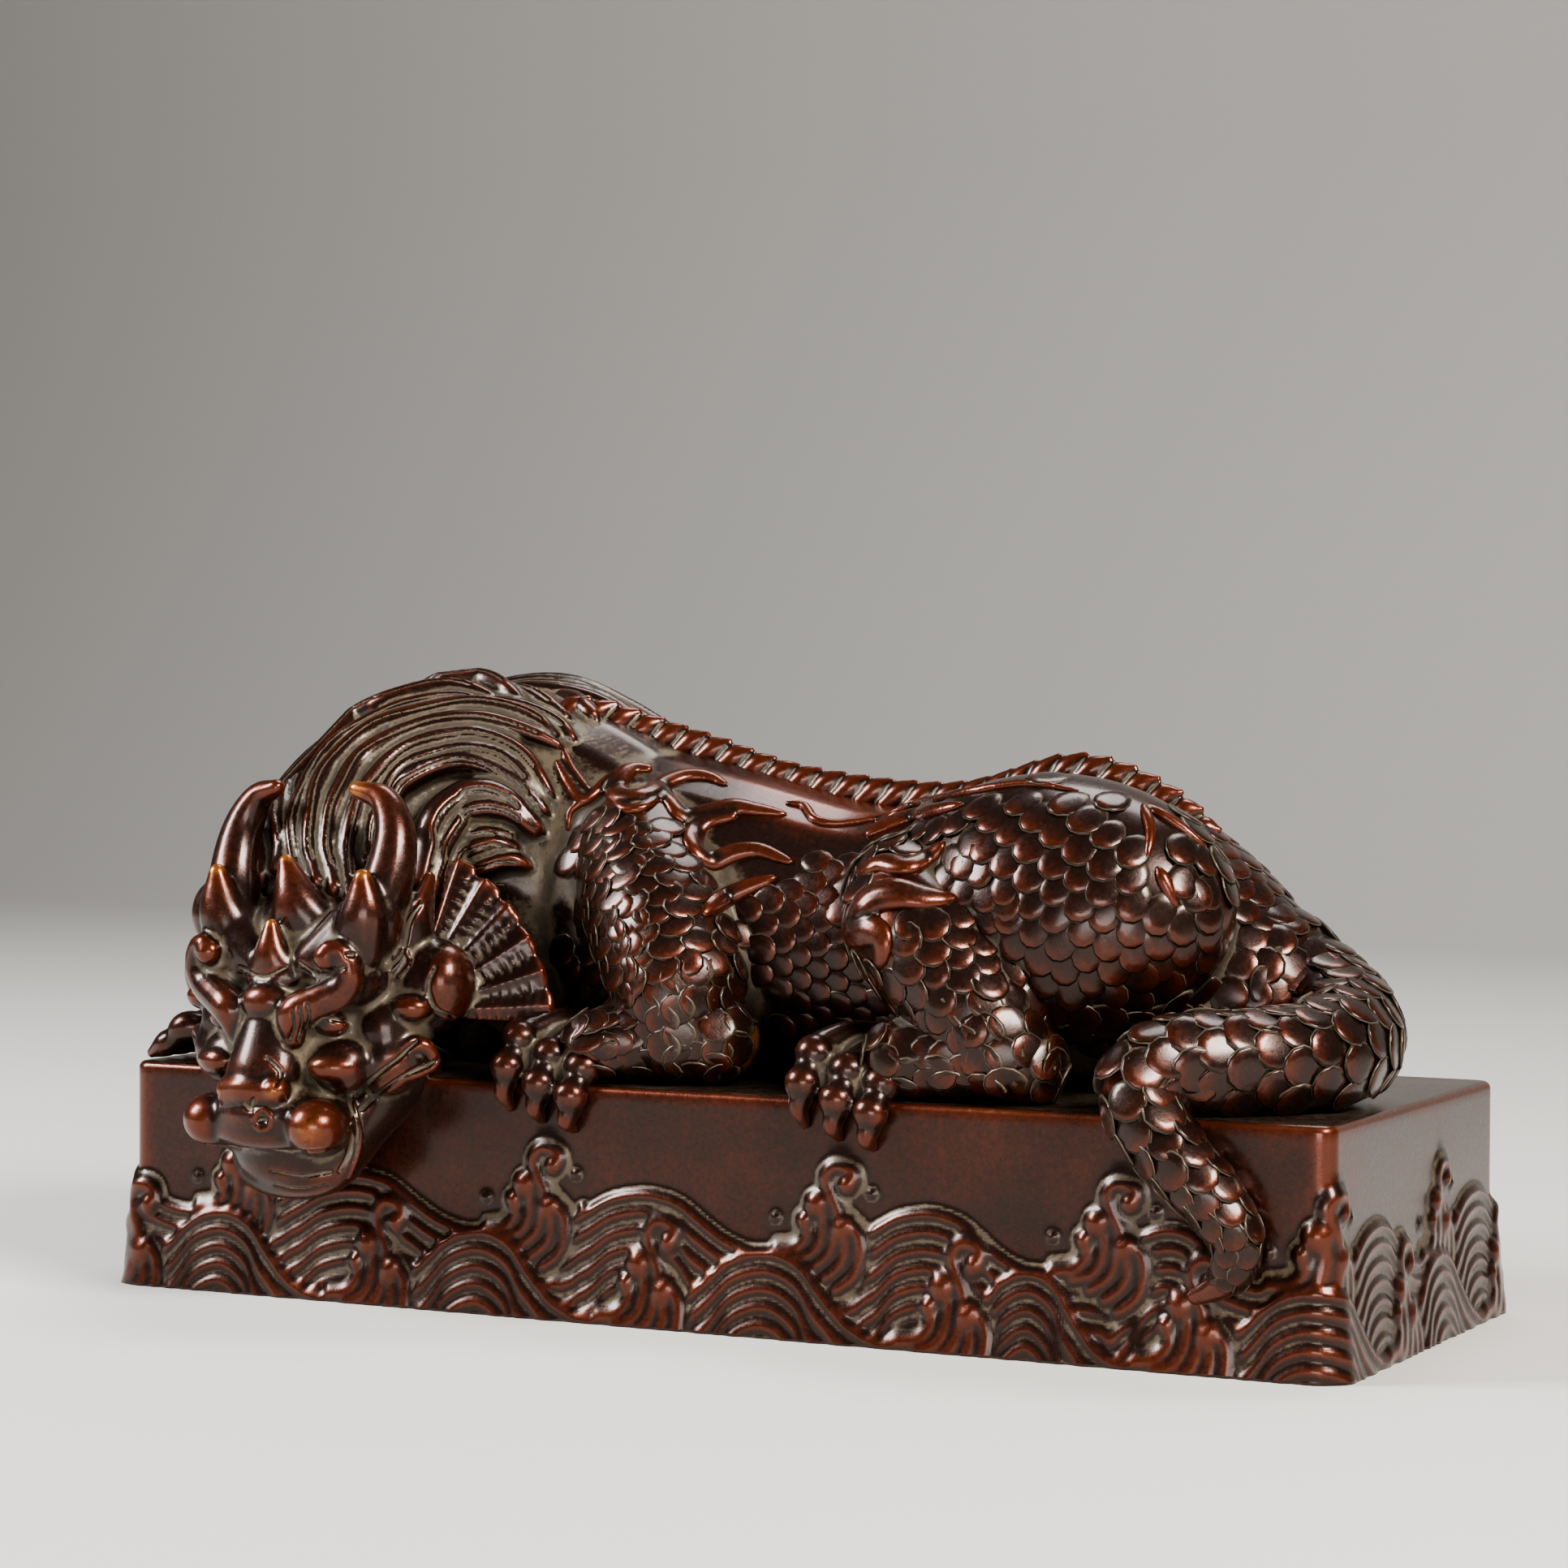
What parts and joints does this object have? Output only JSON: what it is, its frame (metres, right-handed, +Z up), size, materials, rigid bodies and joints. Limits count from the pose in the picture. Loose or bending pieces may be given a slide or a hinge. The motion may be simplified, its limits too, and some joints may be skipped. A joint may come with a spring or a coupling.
{
  "type": "guardian beast statue",
  "caption": "Crouching horned and scaled guardian beast cast in one with its long plinth, head hung over the front edge and waves in relief round the foot.",
  "frame": {"origin": "middle of the plinth's underside", "axes": "+X along the plinth from the head to the tail end, -Y out of the long front face that the head hangs over, +Z up"},
  "size_m": [0.1646, 0.082, 0.0777],
  "materials": {
    "patinated_copper": "dark red-brown patina, polished on the heights, dusty in the recesses"
  },
  "bodies": {
    "root": {"guardian_beast_and_plinth": "patinated_copper"}
  },
  "joints": []
}
